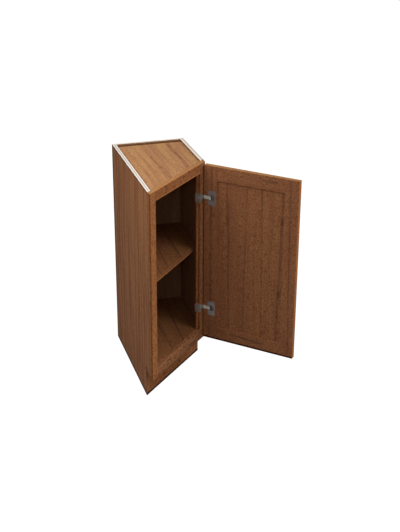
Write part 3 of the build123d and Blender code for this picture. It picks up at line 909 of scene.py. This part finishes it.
def staple_rows():
    """Edges that the staples follow, up both sides and along both decks."""
    level = BACK_HIGH.y - bpy.context.scene.cabinet_joinery.staple_wire * STAPLE_SINK
    foot, head = BACK_LOW.z + UPRIGHT_GAP, BACK_HIGH.z - UPRIGHT_GAP
    left, right = BACK_LOW.x + LEVEL_GAP, BACK_HIGH.x - LEVEL_GAP
    uprights = (BACK_LOW.x + STAPLE_INSET, BACK_HIGH.x - STAPLE_INSET)
    decks = (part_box("bottom_deck"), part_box("top_deck"))
    heights = [(low.z + high.z) / 2 for low, high in decks]
    rows = [((x, foot), (x, head)) for x in uprights]
    rows += [((left, z), (right, z)) for z in heights]
    mesh = bmesh.new()
    for row in rows:
        mesh.edges.new([mesh.verts.new((x, level, z)) for x, z in row])
    return mesh


def press_dents(board, dents):
    """Presses the dents into the board and removes them."""
    modifier = board.modifiers.new("dents", "BOOLEAN")
    modifier.operation = "DIFFERENCE"
    modifier.solver = "EXACT"
    modifier.object = dents
    bake_modifier(board, modifier)
    bpy.data.objects.remove(dents)


class CABINET_OT_build_back(bpy.types.Operator):
    """Build the back panel with the staples that hold it"""

    bl_idname = "cabinet.build_back"
    bl_label = "Build Back"

    def execute(self, context):
        wood = context.scene.cabinet_wood
        raw = context.scene.cabinet_raw_edge
        joinery = context.scene.cabinet_joinery
        metal = context.scene.cabinet_metal
        middle = -(BACK_LOW.y + BACK_HIGH.y) / 2
        outside = raw_wood_finish("back_outside", Lie(RIGHT, UP), 3.0)
        edge = raw_edge_finish("back_edge", Lie(FORWARD, RIGHT), middle, raw.thin_core, raw.beige)
        # The inside face takes the lighter copy of the interior veneer: painted light
        inside = wood_finish("back_inside", wood.walls, Lie(RIGHT, UP, BACK_LOW), 31.0)
        zinc = metal_finish("staple_zinc", metal.zinc, metal.roughness)
        ends = (edge, faces_towards(UP, -UP))
        finishes = [(outside, faces_towards(BACKWARD)), ends, (inside, None)]
        board = eased_object("back_board", "back_panel", joinery.board_ease, finishes)
        growth = staple_growth()
        values = {
            label: getattr(joinery, f"staple_{label.lower()}")
            for label in ("Pitch", "Crown", "Wire", "Turn", "Seed")
        }
        values["Material"] = zinc
        staples = growth.grow("back_staples", staple_rows(), {**values, "Swell": 0.0})
        dents = growth.grow("staple_dents", staple_rows(), {**values, "Swell": DENT_SWELL})
        press_dents(board, dents)
        settle(board, "cabinet", "back_panel")
        settle(staples, "cabinet", None, smooth=40)
        return {"FINISHED"}


class CABINET_OT_build_decks(bpy.types.Operator):
    """Finish the top deck and the bottom deck"""

    bl_idname = "cabinet.build_decks"
    bl_label = "Build Decks"

    def execute(self, context):
        wood = context.scene.cabinet_wood
        low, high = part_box("top_deck")
        # Painted shade: dark lines where the top deck meets the back and both sides
        rims = (
            Rim("Z", high.y, 0.018, 0.85),
            Rim("X", high.x, 0.007, 0.8),
            Rim("X", low.x, 0.015, 0.9),
        )
        top = wood_finish(
            "top_deck_veneer", wood.deck, LEVEL, 5.0, DECK_STREAKS, rims,
            figure=0.5, mottle=0.6, smear=wood.deck_streak,
        )
        bottom = wood_finish(
            "bottom_deck_veneer", wood.interior, LEVEL, 14.0, FLOOR_STREAKS, figure=0.4, mottle=0.8
        )
        dress_node("top_deck", top)
        dress_node("bottom_deck", bottom)
        return {"FINISHED"}


class CABINET_OT_build_toe_kick(bpy.types.Operator):
    """Build the toe kick board and the glue blocks behind it"""

    bl_idname = "cabinet.build_toe_kick"
    bl_label = "Build Toe Kick"

    def execute(self, context):
        wood = context.scene.cabinet_wood
        # Its rim is painted shade: a dark line along the board's foot
        board = wood_finish(
            "toe_board_veneer", wood.rail, FACE_RAIL, 41.0, TOE_MARKS,
            (Rim("X", 0, 0.0125, 0.95),), figure=0.25, mottle=0.7, coarse=1.8,
        )
        raw = raw_wood_finish("toe_board_rear", Lie(UP, ALONG_FACE), 8.0)
        finishes = [(raw, faces_towards(-OUT_OF_FACE)), (board, None)]
        eased_board("toe_board", "toe_kick_board", finishes, "cabinet")
        blocks = raw_wood_finish("glue_block_wood", Lie(UP, ALONG_FACE), 12.0)
        eased_board("corner_blocks", "glue_blocks", [(blocks, None)], "cabinet")
        return {"FINISHED"}


class CABINET_OT_build_face_frame(bpy.types.Operator):
    """Build the two stiles and the two rails of the face frame"""

    bl_idname = "cabinet.build_face_frame"
    bl_label = "Build Face Frame"

    def execute(self, context):
        wood = context.scene.cabinet_wood
        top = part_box("frame_left_stile")[1].z
        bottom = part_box("frame_bottom_rail")[0].z
        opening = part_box("frame_top_rail")[0].z
        stile_start, stile_end = (
            place - FACE_FOOT.dot(ALONG_FACE) for place in reach("frame_right_stile", ALONG_FACE)
        )
        # Rims are painted shade: dark lines along the left stile's outer border and top end, along
        # the right stile's border at the opening and at its top end beside the door, and along the
        # bottom rail's lower arris. The top rail's rim is a painted highlight along its lower
        # arris.
        for member, base, lie, shift, streaks, rim, edge_rims in (
            (
                "left_stile", wood.hardwood, FACE_STILE, 51.0, (),
                Rim("X", 0, 0.010, 0.5), (Rim("X", 0, 0.012, 0.4),),
            ),
            (
                "right_stile", wood.dim, FACE_STILE, 57.0, (),
                Rim("X", stile_start, 0.006, 0.3), (Rim("X", stile_end, 0.012, 0.95),),
            ),
            (
                "top_rail", wood.rail, FACE_RAIL, 63.0, TOP_RAIL_MARKS,
                Rim("X", opening, 0.005, 0.55, worn=True), (),
            ),
            (
                "bottom_rail", wood.sill, FACE_RAIL, 71.0, BOTTOM_RAIL_MARKS,
                Rim("X", bottom, 0.003, 0.3), (),
            ),
        ):
            finish = wood_finish(
                f"frame_{member}_wood", base, lie, shift, streaks, (rim,),
                figure=0.25, mottle=1.0, coarse=1.5,
            )
            finishes = [(finish, None)]
            if member != "bottom_rail":
                # Top ends take the lighter edge stain, painted light from above, and on the stiles
                # rims of painted shade
                edge = wood_finish(
                    f"frame_{member}_top_edge", wood.edge, lie, shift + 3, rims=edge_rims
                )
                finishes.insert(0, (edge, end_faces(UP, top, *EASED_END)))
            if member == "right_stile":
                # The inner face's rim is painted shade: a dark line along its front arris
                inner = wood_finish(
                    f"frame_{member}_inner_face", wood.hardwood, Lie(OUT_OF_FACE, UP, FACE_FOOT),
                    shift, (), (Rim("X", 0, 0.008, 0.35),), figure=0.2, mottle=0.85, coarse=1.5,
                )
                finishes.insert(1, (inner, faces_towards(-ALONG_FACE)))
            eased_board(
                f"face_{member}", f"frame_{member}", finishes, "cabinet"
            )
        return {"FINISHED"}


class CABINET_OT_build_shelf(bpy.types.Operator):
    """Build the shelf with its front band and its clips"""

    bl_idname = "cabinet.build_shelf"
    bl_label = "Build Shelf"

    def execute(self, context):
        wood = context.scene.cabinet_wood
        raw = context.scene.cabinet_raw_edge
        metal = context.scene.cabinet_metal
        low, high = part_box("shelf_board")
        board = wood_finish(
            "shelf_veneer", wood.interior, LEVEL, 81.0, SHELF_STREAKS, figure=0.45, mottle=1.0
        )
        middle = (low.z + high.z) / 2
        edge = raw_edge_finish("shelf_edge", Lie(UP, FORWARD), middle, raw.core_width, raw.beige)
        finishes = [(edge, faces_towards(RIGHT, -RIGHT, BACKWARD)), (board, None)]
        eased_board("shelf", "shelf_board", finishes, "shelf")
        # Painted highlight: a paler line along the band at the height of the shelf's underside
        worn = Rim("X", low.z, 0.005, 0.5, worn=True)
        band = wood_finish("shelf_band_wood", wood.band, FACE_RAIL, 91.0, rims=(worn,))
        piece = eased_object("shelf_band", "shelf_edge_band", 0.0003, [(band, None)])
        settle(piece, "shelf", "shelf_edge_band")
        zinc = metal_finish("clip_zinc", metal.zinc, metal.roughness)
        eased_metal("clips", "shelf_clips", [(zinc, None)], "cabinet")
        return {"FINISHED"}


class CABINET_OT_build_door(bpy.types.Operator):
    """Build the door's stiles, rails and centre panel"""

    bl_idname = "cabinet.build_door"
    bl_label = "Build Door"

    def execute(self, context):
        wood = context.scene.cabinet_wood
        # Painted shade: dark lines along the foot of the stiles and the bottom rail's lower edge
        foot = (Rim("Z", 0, 0.0105, 0.9),)
        low_edge = (Rim("X", 0, 0.0105, 0.9),)
        top_end = end_faces(UP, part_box("door_free_stile")[1].z, *EASED_END)
        free_end = end_faces(ALONG_DOOR, reach("door_free_stile", ALONG_DOOR)[1], *EASED_END)
        for member, lie, shift, streaks, rims in (
            ("hinge_stile", DOOR_STILE, 101.0, HINGE_STILE_STREAKS, foot),
            ("free_stile", DOOR_STILE, 107.0, FREE_STILE_STREAKS, foot),
            ("top_rail", DOOR_RAIL, 113.0, DOOR_TOP_RAIL_MARKS, ()),
            ("bottom_rail", DOOR_RAIL, 121.0, DOOR_BOTTOM_RAIL_MARKS, low_edge),
        ):
            name = f"door_{member}"
            finish = wood_finish(f"{name}_wood", wood.door, lie, shift, streaks, rims, mottle=0.95)
            finishes = [(finish, None)]
            if member == "free_stile":
                # The outer edge takes the lighter edge stain: painted light
                side = wood_finish(f"{name}_free_edge", wood.free, lie, shift + 3)
                finishes.insert(0, (side, free_end))
            if member != "bottom_rail":
                # Top ends take the lighter edge stain: painted light from above
                top = wood_finish(f"{name}_top_edge", wood.edge, lie, shift + 3)
                finishes.insert(0, (top, top_end))
            eased_board(f"{name}_board", name, finishes, "door")
        panel = wood_finish(
            "door_panel_veneer", wood.door, DOOR_STILE, 131.0, PANEL_STREAKS, mottle=0.95
        )
        dress_node("door_center_panel", panel)
        return {"FINISHED"}


def drive_screws(growth, kind, body, material, form):
    """Screws with the places and outer sizes of a CAD node's own."""
    joinery = bpy.context.scene.cabinet_joinery
    node = f"hinge_{kind}_screws"
    solids = merged_mesh(node)
    seeds = bmesh.new()
    for points in islands(solids):
        bottom, top = span(points, OUT_OF_DOOR_INSIDE)
        left, right = span(points, ALONG_DOOR)
        low, high = span(points, UP)
        middle = ALONG_DOOR * (left + right) / 2 + UP * (low + high) / 2
        seeds.verts.new(middle + OUT_OF_DOOR_INSIDE * top)
    solids.free()
    # The screws of a node are alike, so the last one gives the sizes of all
    values = {
        **form,
        "Facing": OUT_OF_DOOR_INSIDE,
        "Head Diameter": high - low,
        "Length": top - bottom,
        "Recess Share": joinery.recess,
        "Seed": joinery.screw_seed,
        "Material": material,
    }
    screws = growth.grow(f"{kind}_screws", seeds, values)
    settle(screws, body, node, smooth=35)


class CABINET_OT_build_hinges(bpy.types.Operator):
    """Build the two hinges: bases, pins, arms, cups and their screws"""

    bl_idname = "cabinet.build_hinges"
    bl_label = "Build Hinges"

    def execute(self, context):
        metal = context.scene.cabinet_metal
        nickel = metal_finish("hinge_nickel", metal.nickel, metal.roughness)
        # Partly painted light on the arms
        bright = metal_finish("hinge_bright_steel", metal.bright, metal.roughness, 0.35)
        # Painted highlight on the adjusting screws
        polished = metal_finish("screw_polished_zinc", metal.polished, 0.2, 0.0)
        zinc = metal_finish("screw_zinc", metal.zinc, metal.roughness)
        # Painted shade inside the cups' hollows
        shaded = metal_finish("hinge_cup_inside", metal.shaded, 0.6, 0.0)
        # Partly painted shade on the cups and their screws
        cup_plating_and_painted_shade = metal_finish("hinge_cup_nickel", metal.cup_plating_and_painted_shade, 0.5)
        for height in ("upper", "lower"):
            flange = reach(f"hinge_{height}_cup", ALONG_FACE)[0]
            hollow = faces_beyond(ALONG_FACE, flange + 0.0025)
            for part, body, finishes in (
                ("base", "cabinet", [(nickel, None)]),
                ("arm", "door", [(bright, None)]),
                ("cup", "door", [(shaded, hollow), (cup_plating_and_painted_shade, None)]),
            ):
                name = f"{height}_hinge_{part}_plate"
                eased_metal(name, f"hinge_{height}_{part}", finishes, body)
            dress_node(f"hinge_{height}_pin", nickel)
        growth = screw_growth()
        labels = ("Head Height", "Foot Share", "Crown Share", "Shank Diameter")
        for kind, body, material, *form in (
            ("base", "cabinet", zinc, 0.0016, 1.0, 0.6, 0.0032),
            ("cup", "door", cup_plating_and_painted_shade, 0.0013, 0.55, 0.92, 0.0032),
            ("adjusting", "door", polished, 0.0013, 1.0, 0.72, 0.003),
        ):
            drive_screws(growth, kind, body, material, dict(zip(labels, form)))
        return {"FINISHED"}


def seen_rays(graph):
    """1 for rays that show the background: straight, mirrored or through glass."""
    path = graph.node("ShaderNodeLightPath")
    seen = path.pick("Is Camera Ray") + path.pick("Is Glossy Ray")
    return (seen + path.pick("Is Transmission Ray")) > 0.5


def lay_floor(stage):
    """Plain floor that gives grey light and looks white."""
    mesh = bmesh.new()
    bmesh.ops.create_grid(mesh, x_segments=8, y_segments=8, size=FLOOR_REACH)
    floor = new_object("studio_floor", mesh)
    finish = Finish("studio_floor")
    cloth = finish.node("ShaderNodeBsdfDiffuse", {"Color": (*stage.floor, 1)})
    grey = finish.node("ShaderNodeBsdfDiffuse", {"Color": (0.16, 0.16, 0.16, 1)})
    glow = finish.node("ShaderNodeEmission", {"Color": WHITE, "Strength": 0.97})
    lit = finish.node("ShaderNodeAddShader", {0: grey, 1: glow})
    seen = seen_rays(finish)
    mixed = finish.node("ShaderNodeMixShader", {0: seen, 1: cloth, 2: lit})
    finish.node("ShaderNodeOutputMaterial", {"Surface": mixed})
    floor.data.materials.append(finish.material)


def light_sky(scene, stage):
    """Sky that gives soft light and looks white."""
    world = bpy.data.worlds.new("studio_sky")
    world.use_nodes = True
    world.node_tree.nodes.clear()
    scene.world = world
    graph = Graph(world.node_tree)
    soft = graph.node("ShaderNodeBackground", {"Color": WHITE, "Strength": stage.sky})
    plain = graph.node("ShaderNodeBackground", {"Color": WHITE, "Strength": 1.0})
    seen = seen_rays(graph)
    mixed = graph.node("ShaderNodeMixShader", {0: seen, 1: soft, 2: plain})
    graph.node("ShaderNodeOutputWorld", {"Surface": mixed})


def hang_lamp(name, place, size, power):
    """Square lamp that looks at the cabinet."""
    data = bpy.data.lights.new(name, "AREA")
    data.energy = power
    data.size = size
    lamp = bpy.data.objects.new(name, data)
    bpy.context.scene.collection.objects.link(lamp)
    lamp.location = place
    lamp.rotation_euler = (LAMP_AIM - Vector(place)).to_track_quat("-Z", "Y").to_euler()
    lamp.visible_camera = False


def place_camera(scene, stage):
    """Camera at the place and angle that the photo was taken from."""
    data = bpy.data.cameras.new("camera")
    data.lens = stage.lens
    data.sensor_width = SENSOR_WIDTH
    camera = bpy.data.objects.new("camera", data)
    scene.collection.objects.link(camera)
    camera.matrix_world = (
        Matrix.Translation(stage.place)
        @ Matrix.Rotation(-stage.yaw, 4, "Z")
        @ Matrix.Rotation(math.pi / 2 - stage.pitch, 4, "X")
        @ Matrix.Rotation(stage.roll, 4, "Z")
    )
    scene.camera = camera


class CABINET_OT_set_stage(bpy.types.Operator):
    """Set up the floor, the sky, the lamps and the camera"""

    bl_idname = "cabinet.set_stage"
    bl_label = "Set Stage"

    def execute(self, context):
        stage = context.scene.cabinet_stage
        lay_floor(stage)
        light_sky(context.scene, stage)
        for name, place, size in LAMPS:
            hang_lamp(f"{name}_lamp", place, size, getattr(stage, f"{name}_power"))
        place_camera(context.scene, stage)
        context.scene.view_settings.view_transform = "Standard"
        return {"FINISHED"}


class CABINET_PT_builder(bpy.types.Panel):
    """Buttons for each group of pieces, with their sizes and colours"""

    bl_idname = "CABINET_PT_builder"
    bl_label = "Angled End Cabinet"
    bl_space_type = "VIEW_3D"
    bl_region_type = "UI"
    bl_category = "Cabinet"

    def draw(self, context):
        layout = self.layout
        for operator in OPERATORS:
            layout.operator(operator.bl_idname)
        for group in SETTINGS:
            box = layout.box()
            settings = getattr(context.scene, group)
            for name in settings.__annotations__:
                box.prop(settings, name)


SETTINGS = {
    "cabinet_wood": CabinetWood,
    "cabinet_raw_edge": CabinetRawEdge,
    "cabinet_metal": CabinetMetal,
    "cabinet_joinery": CabinetJoinery,
    "cabinet_stage": CabinetStage,
}
OPERATORS = (
    CABINET_OT_build_sides,
    CABINET_OT_build_back,
    CABINET_OT_build_decks,
    CABINET_OT_build_toe_kick,
    CABINET_OT_build_face_frame,
    CABINET_OT_build_shelf,
    CABINET_OT_build_door,
    CABINET_OT_build_hinges,
    CABINET_OT_set_stage,
)


def register():
    for group in (*SETTINGS.values(), *OPERATORS, CABINET_PT_builder):
        bpy.utils.register_class(group)
    for name, group in SETTINGS.items():
        setattr(bpy.types.Scene, name, PointerProperty(type=group))


def unregister():
    for name in SETTINGS:
        delattr(bpy.types.Scene, name)
    for group in reversed((*SETTINGS.values(), *OPERATORS, CABINET_PT_builder)):
        bpy.utils.unregister_class(group)


def main():
    register()
    for step in OPERATORS:
        group, action = step.bl_idname.split(".")
        if getattr(getattr(bpy.ops, group), action)() != {"FINISHED"}:
            raise RuntimeError(f"{step.bl_label} did not finish")


if __name__ == "__main__":
    main()
